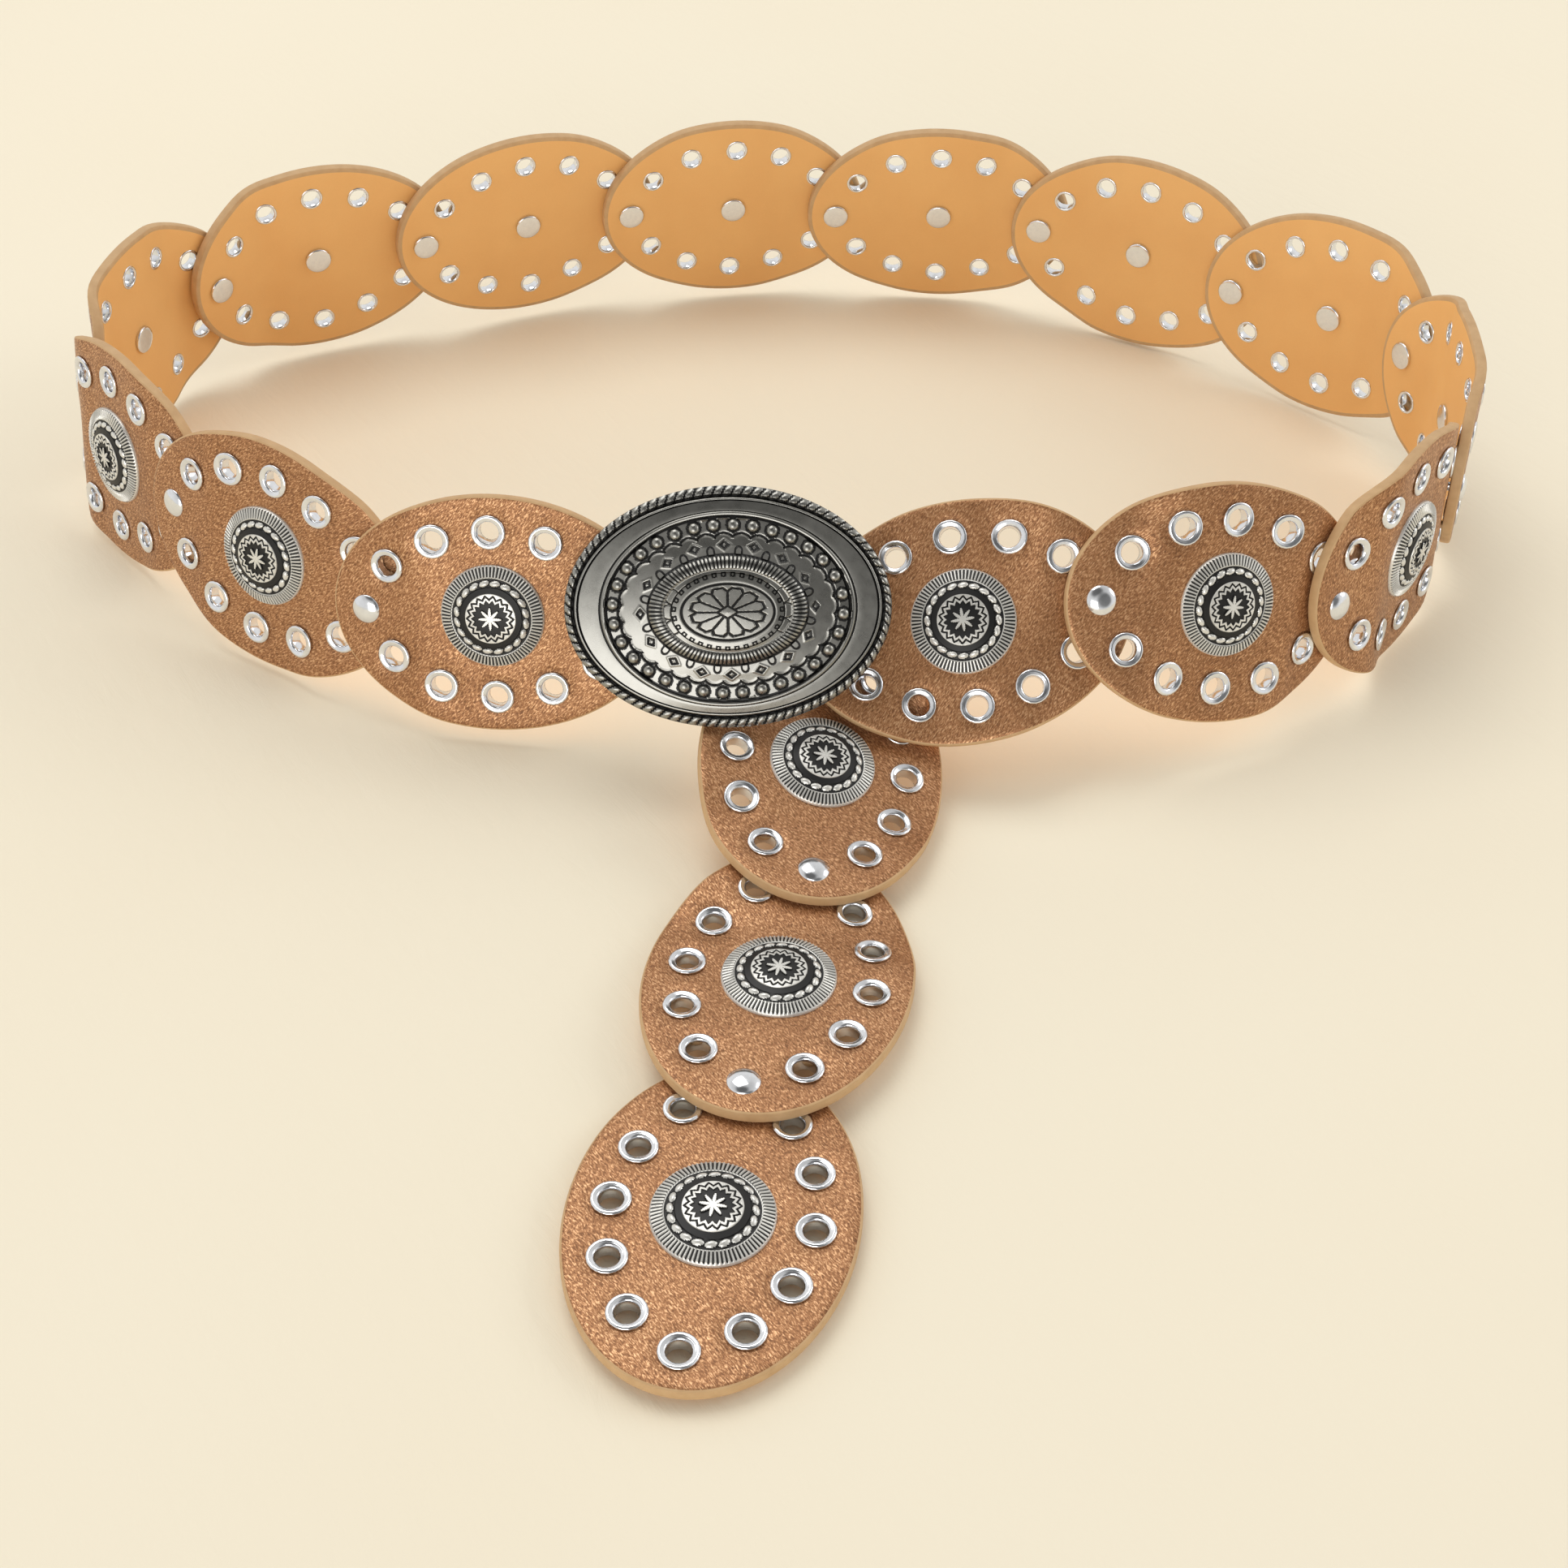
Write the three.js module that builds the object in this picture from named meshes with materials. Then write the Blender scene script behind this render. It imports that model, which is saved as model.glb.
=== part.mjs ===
// A fastened belt of oval leather discs with a cast oval buckle.
// The waist loop stands on its edge and the tail lies forward on the surface.
// Millimetres, +Z up; the belt's outside at the buckle faces -Y.
import * as THREE from 'three';

// Leather discs
const DISC_LENGTH = 83;
const DISC_HEIGHT = 60;
const LEATHER = 3;
const RIVET_PITCH = 65.5;
const SEAM_GAP = 0.6;

// A disc is flat under its concho, bends between these two distances from its middle, and is flat to its end
const BEND_START = 13;
const BEND_END = 23;

// Its faces are cut across between two eyelets, and round the concho's flat seat, so that they follow the bend
const BEND_CUT = 20;
const SEAT = 27.6;
const SEAT_SIDES = 8;

// Straight steps of the outline round each end, and between the two ends along each edge
const END_STEPS = 7;
const EDGE_STEPS = 3;

// Eyelet holes: the same five along the top edge and along the bottom edge
const EYELET_HOLE = 5.6;
const EYELET_SIDES = 5;
const EYELETS = [
  { along: -26, up: 11.7 },
  { along: -14, up: 18.5 },
  { along: 0, up: 21 },
  { along: 14, up: 18.5 },
  { along: 26, up: 11.7 },
];

// Rivets and conchos
const SHAFT = 2.6;
const SHAFT_HOLE = 4.4;
const SHAFT_HOLE_SIDES = 4;
const CAP = 7.5;
const CAP_DOME = 1.4;
const CAP_CROWN = 5;
const BACK_CAP = 7.8;
const BACK_CAP_DEPTH = 0.9;
const CONCHO = 25.5;
const METAL_GAP = 0.3;
const CONCHO_GAP = 0.5;
const RIVET_SIDES = 6;
const CONCHO_SIDES = 10;

// Buckle
const BUCKLE_LENGTH = 78;
const BUCKLE_HEIGHT = 57.5;
const BUCKLE_SIDES = 32;
const BUCKLE_PLACE = { heading: 1, lean: 36, roll: 2 };

// Half sections from the middle outward: distance as a share of the half width, height in millimetres
const BUCKLE_FRONT = [
  { out: 0, height: 8.6 },
  { out: 0.3, height: 7.8 },
  { out: 0.6, height: 5.4 },
  { out: 0.75, height: 4.4 },
  { out: 0.9, height: 2.5 },
  { out: 0.95, height: 2.8 },
  { out: 1, height: 1.8 },
];
const BUCKLE_BACK = [
  { out: 1, height: 0 },
  { out: 0.93, height: 0 },
  { out: 0.6, height: 3.4 },
  { out: 0, height: 6.8 },
];
const CONCHO_FRONT = [
  { out: 0, height: 3.2 },
  { out: 0.7, height: 2.2 },
  { out: 1, height: 0.8 },
  { out: 1, height: 0 },
];

// The stud meets the buckle's back here, and the buckle stands this far in front of the first disc
const STUD_ALONG = -25.4;
const STUD_UP = -2.7;
const STUD_LENGTH = 11.6;
const BUCKLE_STAND_OFF = 10.4;

// The hook goes through an eyelet of the loop's last disc and ends behind the buckle
const HOOK_EYELET = EYELETS[0];
const HOOK_LENGTH = 15.5;

// The loop starts at the disc on the buckle's left and goes round the back to the disc on its right.
// Each disc lies under the one before it, and they share a rivet.
// heading: the way the disc's outside faces, 0 forward and positive to the right, seen from above
// lean: how far its outside is tipped up
// roll: how far it is turned in its own plane, with its right end up
const PLACES = [
  { heading: -6, lean: 20, roll: 4 },
  { heading: -30, lean: 14, roll: -5 },
  { heading: -48, lean: 8, roll: 4 },
  { heading: -108, lean: 2, roll: -5 },
  { heading: -154, lean: 5, roll: 0 },
  { heading: -156, lean: 6, roll: -1 },
  { heading: -169, lean: 6, roll: 2 },
  { heading: -183, lean: 7, roll: -1 },
  { heading: -205, lean: -2, roll: 3 },
  { heading: -220, lean: -4, roll: -5 },
  { heading: -270, lean: 1, roll: 2 },
  { heading: -306, lean: 4, roll: 1 },
  { heading: -337, lean: 23, roll: -13 },
  { heading: -372, lean: 45, roll: 19 },
  { heading: -319, lean: 73, roll: 47 },
  { heading: -360, lean: 94, roll: 78 },
  { heading: -360, lean: 90, roll: 81 },
];
const LOOP_DISCS = 14;

// Where the tail starts, the leathers stand further apart and the tail takes most of the bend
const TUCK_GAP = 2;
const TUCK_SHARE = 0.25;

const leather = new THREE.MeshStandardMaterial({ name: 'leather', color: 0xb07850, roughness: 0.55, metalness: 0.25 });
const silver = new THREE.MeshStandardMaterial({ name: 'silver', color: 0xb9b9b4, roughness: 0.35, metalness: 1 });
const nickel = new THREE.MeshStandardMaterial({ name: 'nickel', color: 0xdedcd6, roughness: 0.2, metalness: 1 });

const reach = RIVET_PITCH / 2;
const radians = THREE.MathUtils.degToRad;

// Turns a piece from lying in the local X, Y plane with its outside up to where it stands
function standing({ heading, lean, roll }) {
  const turn = new THREE.Euler(radians(90 - lean), 0, radians(heading), 'ZXY');
  const spin = new THREE.Quaternion().setFromAxisAngle(new THREE.Vector3(0, 0, 1), radians(roll));
  return new THREE.Quaternion().setFromEuler(turn).multiply(spin);
}

function turnedBy(rotation, x, y, z) {
  return new THREE.Vector3(x, y, z).applyQuaternion(rotation);
}

// The rotation of a disc's end, tipped from its middle so that it faces along the rivet
function tipped(rotation, normal) {
  const tip = new THREE.Quaternion().setFromUnitVectors(turnedBy(rotation, 0, 0, 1), normal);
  return tip.multiply(rotation);
}

// A point given along, across and out of a disc, carried by its middle and by its bent end
function onDisc(disc, along, across, out) {
  const hinge = Math.sign(along) * (BEND_START + BEND_END) / 2;
  const end = along < 0 ? disc.nextEnd : disc.previousEnd;
  const middle = turnedBy(disc.rotation, along, across, out);
  const tip = turnedBy(disc.rotation, hinge, 0, 0).add(turnedBy(end, along - hinge, across, out));
  const share = THREE.MathUtils.smoothstep(Math.abs(along), BEND_START, BEND_END);
  return middle.lerp(tip, share).add(disc.centre);
}

// The space between a disc and the one before it
function seamGap(index) {
  return index === LOOP_DISCS ? TUCK_GAP : SEAM_GAP;
}

// The way that both ends at a seam face: halfway between their discs, or nearer to the loop's last disc
function seamNormal(before, after, index) {
  return before.clone().lerp(after, index === LOOP_DISCS ? TUCK_SHARE : 0.5).normalize();
}

function layChain() {
  const rotations = PLACES.map(standing);
  const normals = rotations.map((rotation) => turnedBy(rotation, 0, 0, 1));
  const joints = normals.slice(1).map((normal, i) => seamNormal(normals[i], normal, i + 1));
  const discs = [];
  for (const [i, rotation] of rotations.entries()) {
    const disc = {
      rotation,
      centre: new THREE.Vector3(),
      previousEnd: tipped(rotation, joints[i - 1] ?? normals[i]),
      nextEnd: tipped(rotation, joints[i] ?? normals[i]),
    };
    if (i > 0) {
      const under = onDisc(discs[i - 1], -reach, 0, -LEATHER / 2 - seamGap(i));
      disc.centre.copy(under.sub(onDisc(disc, reach, 0, LEATHER / 2)));
    }
    discs.push(disc);
  }
  return discs;
}

function ring(x, y, width, sides, start = 0) {
  const points = [];
  for (let i = 0; i < sides; i += 1) {
    const angle = start + (i / sides) * Math.PI * 2;
    points.push(new THREE.Vector2(x + Math.cos(angle) * width / 2, y + Math.sin(angle) * width / 2));
  }
  return points;
}

// Points of the oval outline from one angle up to another
function arc(from, to, steps) {
  const points = [];
  for (let i = 0; i < steps; i += 1) {
    const angle = THREE.MathUtils.lerp(from, to, i / steps);
    points.push(new THREE.Vector2(Math.cos(angle) * DISC_LENGTH / 2, Math.sin(angle) * DISC_HEIGHT / 2));
  }
  return points;
}

// The whole outline, with corners where the cuts meet it
function discOutline() {
  const cut = Math.acos(BEND_CUT / (DISC_LENGTH / 2));
  const half = [...arc(-cut, cut, END_STEPS), ...arc(cut, Math.PI - cut, EDGE_STEPS)];
  return [...half, ...half.map((point) => point.clone().negate())];
}

function eyeletHoles() {
  return EYELETS.flatMap(({ along, up }) => [up, -up].map((across) => (
    ring(along, across, EYELET_HOLE, EYELET_SIDES, Math.sign(across) * Math.PI / 2)
  )));
}

function shaftHole(along) {
  return ring(along, 0, SHAFT_HOLE, SHAFT_HOLE_SIDES);
}

function raised(point, side) {
  return new THREE.Vector3(point.x, point.y, side * LEATHER / 2);
}

// Triangles of both faces between a contour and its holes
function faces(contour, holes) {
  const points = [contour, ...holes].flat();
  return THREE.ShapeUtils.triangulateShape(contour, holes).flatMap((corners) => {
    const [a, b, c] = corners.map((corner) => points[corner]);
    return [[raised(a, 1), raised(b, 1), raised(c, 1)], [raised(c, -1), raised(b, -1), raised(a, -1)]];
  });
}

// Triangles of the wall under a loop that runs anticlockwise round leather, or clockwise round a hole
function walls(loop) {
  return loop.flatMap((p, i) => {
    const q = loop[(i + 1) % loop.length];
    return [[raised(p, -1), raised(q, -1), raised(q, 1)], [raised(p, -1), raised(q, 1), raised(p, 1)]];
  });
}

// One flat disc as triangles: two ends, the middle between the cuts, and the seat under the concho
function flatDisc() {
  const edge = discOutline();
  const opposite = END_STEPS + EDGE_STEPS;
  const seat = ring(0, 0, SEAT, SEAT_SIDES, Math.PI / SEAT_SIDES);
  const within = (from, to) => eyeletHoles().filter(([{ x }]) => x > from && x < to);
  const ends = [edge.slice(0, END_STEPS + 1), edge.slice(opposite, opposite + END_STEPS + 1)];
  const middle = [...edge.slice(END_STEPS, opposite + 1), ...edge.slice(opposite + END_STEPS), edge[0]];
  const holes = [...eyeletHoles(), shaftHole(-reach), shaftHole(0), shaftHole(reach)];
  return [
    ...faces(ends[0], [...within(BEND_CUT, Infinity), shaftHole(reach)]),
    ...faces(ends[1], [...within(-Infinity, -BEND_CUT), shaftHole(-reach)]),
    ...faces(middle, [...within(-BEND_CUT, BEND_CUT), seat]),
    ...faces(seat, [shaftHole(0)]),
    ...walls(edge),
    ...holes.flatMap((hole) => walls(hole.reverse())),
  ];
}

function bentDisc(triangles, disc) {
  const points = triangles.flat().map((p) => onDisc(disc, p.x, p.y, p.z));
  return new THREE.BufferGeometry().setFromPoints(points);
}

// A solid turned about local Z from points of radius and height, listed upward on the outside
function turned(points, sides) {
  return new THREE.LatheGeometry(points, sides).rotateX(Math.PI / 2);
}

function at(radius, height) {
  return new THREE.Vector2(radius, height);
}

// A half section from the middle outward, for a piece of this width, raised by base
function section(rows, width, base = 0) {
  return rows.map(({ out, height }) => at(out * width / 2, height + base));
}

// A flat cap under a height, and the shaft that rises from it
function backCap(height) {
  return [
    at(0, height - BACK_CAP_DEPTH),
    at(BACK_CAP / 2, height - BACK_CAP_DEPTH),
    at(BACK_CAP / 2, height),
    at(SHAFT / 2, height),
  ];
}

// A cap behind, a shaft and a domed cap in front; zero is the leather's back and stack its thickness
function rivetGeometry(stack) {
  const front = stack + METAL_GAP;
  return turned([
    ...backCap(-METAL_GAP),
    at(SHAFT / 2, front),
    at(CAP / 2, front),
    at(CAP_CROWN / 2, front + CAP_DOME),
    at(0, front + CAP_DOME),
  ], RIVET_SIDES);
}

function conchoGeometry() {
  const front = LEATHER / 2 + CONCHO_GAP;
  return turned([
    ...backCap(-LEATHER / 2 - METAL_GAP),
    at(SHAFT / 2, front),
    ...section(CONCHO_FRONT, CONCHO, front).reverse(),
  ], CONCHO_SIDES);
}

// The round shell of the buckle, drawn in to its oval height
function buckleGeometry() {
  const front = section(BUCKLE_FRONT, BUCKLE_LENGTH).reverse();
  const back = section(BUCKLE_BACK, BUCKLE_LENGTH).reverse();
  const shell = turned([...back, ...front], BUCKLE_SIDES);
  return shell.scale(1, BUCKLE_HEIGHT / BUCKLE_LENGTH, 1);
}

// The stud's back cap is behind the first disc; zero is the disc's outer face
function studGeometry() {
  return turned([
    ...backCap(-LEATHER - METAL_GAP),
    at(SHAFT / 2, STUD_LENGTH),
    at(0, STUD_LENGTH),
  ], RIVET_SIDES);
}

// Zero is the outer face of the disc that the hook goes through
function hookGeometry() {
  return turned([
    at(0, -LEATHER),
    at(SHAFT / 2, -LEATHER),
    at(SHAFT / 2, HOOK_LENGTH),
    at(0, HOOK_LENGTH),
  ], RIVET_SIDES);
}

const belt = new THREE.Group();

function add(name, material, geometry, position = new THREE.Vector3(), rotation = new THREE.Quaternion()) {
  const mesh = new THREE.Mesh(geometry, material);
  mesh.name = name;
  mesh.position.copy(position);
  mesh.quaternion.copy(rotation);
  belt.add(mesh);
}

function numbered(name, index) {
  return `${name}_${String(index + 1).padStart(2, '0')}`;
}

function addDiscs(discs) {
  const plate = flatDisc();
  for (const [i, disc] of discs.entries()) {
    add(numbered('disc', i), leather, bentDisc(plate, disc));
    add(numbered('concho', i), silver, conchoGeometry(), disc.centre, disc.rotation);
  }
}

function addRivets(discs) {
  for (let i = 1; i < discs.length; i += 1) {
    const back = onDisc(discs[i], reach, 0, -LEATHER / 2);
    const geometry = rivetGeometry(2 * LEATHER + seamGap(i));
    add(numbered('rivet', i - 1), nickel, geometry, back, discs[i].previousEnd);
  }
}

function addBuckle(first, last) {
  const studFoot = onDisc(first, reach, 0, LEATHER / 2);
  const rotation = standing(BUCKLE_PLACE);
  const centre = studFoot.clone().sub(turnedBy(rotation, STUD_ALONG, STUD_UP, -BUCKLE_STAND_OFF));
  const hookFoot = onDisc(last, HOOK_EYELET.along, HOOK_EYELET.up, LEATHER / 2);
  add('buckle', silver, buckleGeometry(), centre, rotation);
  add('buckle_stud', nickel, studGeometry(), studFoot, first.previousEnd);
  add('buckle_hook', nickel, hookGeometry(), hookFoot, last.nextEnd);
}

const chain = layChain();
addDiscs(chain);
addRivets(chain);
addBuckle(chain[0], chain[LOOP_DISCS - 1]);

// The middle of the belt's underside is the origin
const box = new THREE.Box3().setFromObject(belt, true);
const middle = box.getCenter(new THREE.Vector3());
belt.position.set(-middle.x, -middle.y, -box.min.z);

const part = new THREE.Group();
part.add(belt);

export default part;
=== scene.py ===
# %% [markdown]
# This script dresses a fastened belt of oval leather discs with a cast oval buckle.
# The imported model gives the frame: where each disc, concho and rivet is, in metres.
# Here each plain solid is replaced by a finely shaped piece with a finish made of nodes.

import math

import bpy
import numpy as np
from mathutils import Matrix, Vector
from mathutils.geometry import delaunay_2d_cdt


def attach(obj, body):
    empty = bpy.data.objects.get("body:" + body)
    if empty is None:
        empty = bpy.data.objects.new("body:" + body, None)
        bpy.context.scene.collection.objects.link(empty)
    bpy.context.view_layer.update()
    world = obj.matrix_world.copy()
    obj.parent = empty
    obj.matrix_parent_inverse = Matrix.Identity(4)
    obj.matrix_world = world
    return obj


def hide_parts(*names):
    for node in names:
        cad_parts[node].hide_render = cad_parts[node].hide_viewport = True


MM = 0.001
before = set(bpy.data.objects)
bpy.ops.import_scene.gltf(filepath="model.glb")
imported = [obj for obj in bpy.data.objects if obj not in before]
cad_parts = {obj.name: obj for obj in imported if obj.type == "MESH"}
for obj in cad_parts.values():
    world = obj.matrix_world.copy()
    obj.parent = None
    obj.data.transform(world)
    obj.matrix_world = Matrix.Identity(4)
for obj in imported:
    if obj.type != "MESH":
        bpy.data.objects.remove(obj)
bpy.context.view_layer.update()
print("nodes in the frame:", len(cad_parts))

# %% [markdown]
# A belt like this is a chain: each disc lies under the one before it, and one rivet joins them.
# The leather stays flat under its concho and bends on both sides of it, so one flat disc is drawn once
# and carried to seventeen places. Bending it by a rule keeps every eyelet and edge on the leather,
# where placing each piece by hand would leave gaps. The same table of places made the plain solids.

# %% Sizes of the leather, in millimetres
DISC_LENGTH = 83
DISC_HEIGHT = 60
LEATHER = 3
REACH = 32.75
SEAM_GAP = 0.6
TUCK_GAP = 2
TUCK_SHARE = 0.25
LOOP_DISCS = 14
BEND_START = 9
BEND_END = 27
FRONT = LEATHER / 2
BACK = -LEATHER / 2

# The way each disc's outside faces, how far it is tipped up, and its turn in its own plane, in degrees
PLACES = [
    {"heading": -6, "lean": 20, "roll": 4},
    {"heading": -30, "lean": 14, "roll": -5},
    {"heading": -48, "lean": 8, "roll": 4},
    {"heading": -108, "lean": 2, "roll": -5},
    {"heading": -154, "lean": 5, "roll": 0},
    {"heading": -156, "lean": 6, "roll": -1},
    {"heading": -169, "lean": 6, "roll": 2},
    {"heading": -183, "lean": 7, "roll": -1},
    {"heading": -205, "lean": -2, "roll": 3},
    {"heading": -220, "lean": -4, "roll": -5},
    {"heading": -270, "lean": 1, "roll": 2},
    {"heading": -306, "lean": 4, "roll": 1},
    {"heading": -337, "lean": 23, "roll": -13},
    {"heading": -372, "lean": 45, "roll": 19},
    {"heading": -319, "lean": 73, "roll": 47},
    {"heading": -360, "lean": 94, "roll": 78},
    {"heading": -360, "lean": 90, "roll": 81},
]

# %% Turns
def turned(degrees, axis):
    """The matrix of a turn about one axis."""
    return np.array(Matrix.Rotation(math.radians(degrees), 3, axis))


def standing(heading, lean, roll):
    """Turns a piece from lying flat with its outside up to where it stands."""
    return turned(heading, "Z") @ turned(90 - lean, "X") @ turned(roll, "Z")


def tipped(rotation, normal):
    """The rotation tipped the shortest way until its outside faces along the normal."""
    tip = Vector(rotation[:, 2]).rotation_difference(Vector(normal))
    return np.array(tip.to_matrix()) @ rotation


def smoothstep(value, low, high):
    """Goes from 0 at low to 1 at high, softly at both ends."""
    share = np.clip((value - low) / (high - low), 0, 1)
    return share * share * (3 - 2 * share)


# %% One disc, flat in its middle and bent towards both seams
class Disc:
    """A place for the flat disc: one turn for its middle and one for each end."""

    def __init__(self, rotation, previous_end, next_end):
        self.rotation = rotation
        self.previous_end = previous_end
        self.next_end = next_end
        self.centre = np.zeros(3)

    def carry(self, points):
        """Takes points given along, across and out of the flat disc to where they lie."""
        points = np.atleast_2d(np.asarray(points, float))
        along = points[:, 0]
        hinge = np.sign(along) * (BEND_START + BEND_END) / 2
        from_hinge = points - np.stack([hinge, 0 * hinge, 0 * hinge], axis=1)
        middle = points @ self.rotation.T
        end = np.where((along < 0)[:, None], from_hinge @ self.next_end.T, from_hinge @ self.previous_end.T)
        tip = end + hinge[:, None] * self.rotation[:, 0]
        share = smoothstep(np.abs(along), BEND_START, BEND_END)[:, None]
        return self.centre + middle * (1 - share) + tip * share


# %% Lay the chain
def seam_gap(index):
    return TUCK_GAP if index == LOOP_DISCS else SEAM_GAP


def seam_normal(before, after, index):
    share = TUCK_SHARE if index == LOOP_DISCS else 0.5
    normal = before * (1 - share) + after * share
    return normal / np.linalg.norm(normal)


def lay_chain():
    """Sets each disc where its rivet meets the disc before it."""
    rotations = [standing(**place) for place in PLACES]
    normals = [rotation[:, 2] for rotation in rotations]
    joints = [seam_normal(normals[i - 1], normals[i], i) for i in range(1, len(normals))]
    laid = []
    for i, rotation in enumerate(rotations):
        previous_end = tipped(rotation, joints[i - 1] if i else normals[i])
        next_end = tipped(rotation, joints[i] if i < len(joints) else normals[i])
        disc = Disc(rotation, previous_end, next_end)
        if i:
            under = laid[-1].carry([-REACH, 0, BACK - seam_gap(i)])[0]
            disc.centre = under - disc.carry([REACH, 0, FRONT])[0]
        laid.append(disc)
    return laid


discs = lay_chain()

# %% [markdown]
# The chain has to be moved as a whole onto the frame. A concho's crown is the one point of its solid
# that is highest along its own axis, so the first concho's crown says exactly where its disc is.
# Measuring a real feature is safer than copying a number that changes with the solids.

# %% Move the chain onto the frame
CONCHO_CROWN = 5.2

crown_points = np.array([vertex.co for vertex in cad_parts["concho_01"].data.vertices]) / MM
outward = discs[0].rotation[:, 2]
crown = crown_points[np.argmax(crown_points @ outward)]
shift = crown - outward * CONCHO_CROWN - discs[0].centre
for disc in discs:
    disc.centre = disc.centre + shift
print("first disc's middle, mm:", np.round(discs[0].centre, 2))

# %% [markdown]
# The camera stands where a person would stand to look down at a belt on a table, a little more than
# forty degrees above it. It is placed from the first disc, because the buckle and that disc fill the
# middle of the picture. A normal lens is used with no blur, so that every disc can be compared.

# %% Camera
CAMERA_FROM_FIRST = {"x": 72.3, "y": -438.6, "z": 338.2}
CAMERA_PITCH = 41.76
CAMERA_ROLL = 1.57
LENS = 51.62
SENSOR_WIDTH = 36

camera_data = bpy.data.cameras.new("camera")
camera_data.lens = LENS
camera_data.sensor_width = SENSOR_WIDTH
camera = bpy.data.objects.new("camera", camera_data)
bpy.context.scene.collection.objects.link(camera)
camera_place = discs[0].centre + np.array(list(CAMERA_FROM_FIRST.values()))
tilt = Matrix.Rotation(math.radians(90 - CAMERA_PITCH), 4, "X")
roll = Matrix.Rotation(math.radians(CAMERA_ROLL), 4, "Z")
camera.matrix_world = Matrix.Translation(Vector(camera_place * MM)) @ (tilt @ roll)
bpy.context.scene.camera = camera
print("camera, mm:", np.round(camera_place, 1))

# %% [markdown]
# Every piece below is made of points and faces worked out in code and then given to one helper.
# It stores two things with the points that the finishes read: where a point is on its own flat piece,
# and how deep it lies in a recess. A finish that reads those stays on the leather when it bends.

# %% Make a piece from points and faces
# Faces that meet at more than this angle, in degrees, show a crease, and others look like one curve
SHARP = {"leather": 35, "cast": 40, "turned": 50, "eyelet": 60}


def make_piece(name, points, faces, finishes, sharp, finish_of_face=None, place=None, recess=None):
    """A piece that rides on the belt, from points in millimetres and the corners of its faces."""
    mesh = bpy.data.meshes.new(name)
    mesh.from_pydata((np.asarray(points) * MM).tolist(), [], [tuple(face) for face in faces])
    for finish in finishes:
        mesh.materials.append(finish)
    if finish_of_face is not None:
        mesh.polygons.foreach_set("material_index", np.asarray(finish_of_face, np.int32))
    if place is not None:
        mesh.attributes.new("place", "FLOAT_VECTOR", "POINT").data.foreach_set("vector", np.ravel(place))
    if recess is not None:
        mesh.attributes.new("recess", "FLOAT", "POINT").data.foreach_set("value", np.ravel(recess))
    mesh.shade_smooth()
    mesh.set_sharp_from_angle(angle=math.radians(sharp))
    mesh.validate()
    piece = bpy.data.objects.new(name, mesh)
    bpy.context.scene.collection.objects.link(piece)
    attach(piece, "root")
    return piece


def grid_faces(rows, columns, start=0):
    """Quads between closed loops of points that follow each other."""
    i, k = np.meshgrid(np.arange(rows - 1), np.arange(columns), indexing="ij")
    a, b = start + i * columns + k, start + i * columns + (k + 1) % columns
    return np.stack([a, b, b + columns, a + columns], axis=-1).reshape(-1, 4)


# %% [markdown]
# The finishes are written as sums. A small class wraps a socket, so that noise * 0.3 + 0.5 adds the
# Math nodes it needs, and one method adds every other node. That reads like the idea behind the
# surface, where wiring node by node hides it.

# %% Shader sums
class Value:
    """A number that varies over a surface, and takes part in sums."""

    def __init__(self, finish, socket):
        self.finish = finish
        self.socket = socket

    def math(self, operation, *values):
        numbered = dict(enumerate(values))
        return self.finish.node("ShaderNodeMath", {"operation": operation}, numbered)

    def __add__(self, other):
        return self.math("ADD", self, other)

    def __radd__(self, other):
        return self.math("ADD", other, self)

    def __sub__(self, other):
        return self.math("SUBTRACT", self, other)

    def __rsub__(self, other):
        return self.math("SUBTRACT", other, self)

    def __mul__(self, other):
        return self.math("MULTIPLY", self, other)

    def __rmul__(self, other):
        return self.math("MULTIPLY", other, self)


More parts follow.
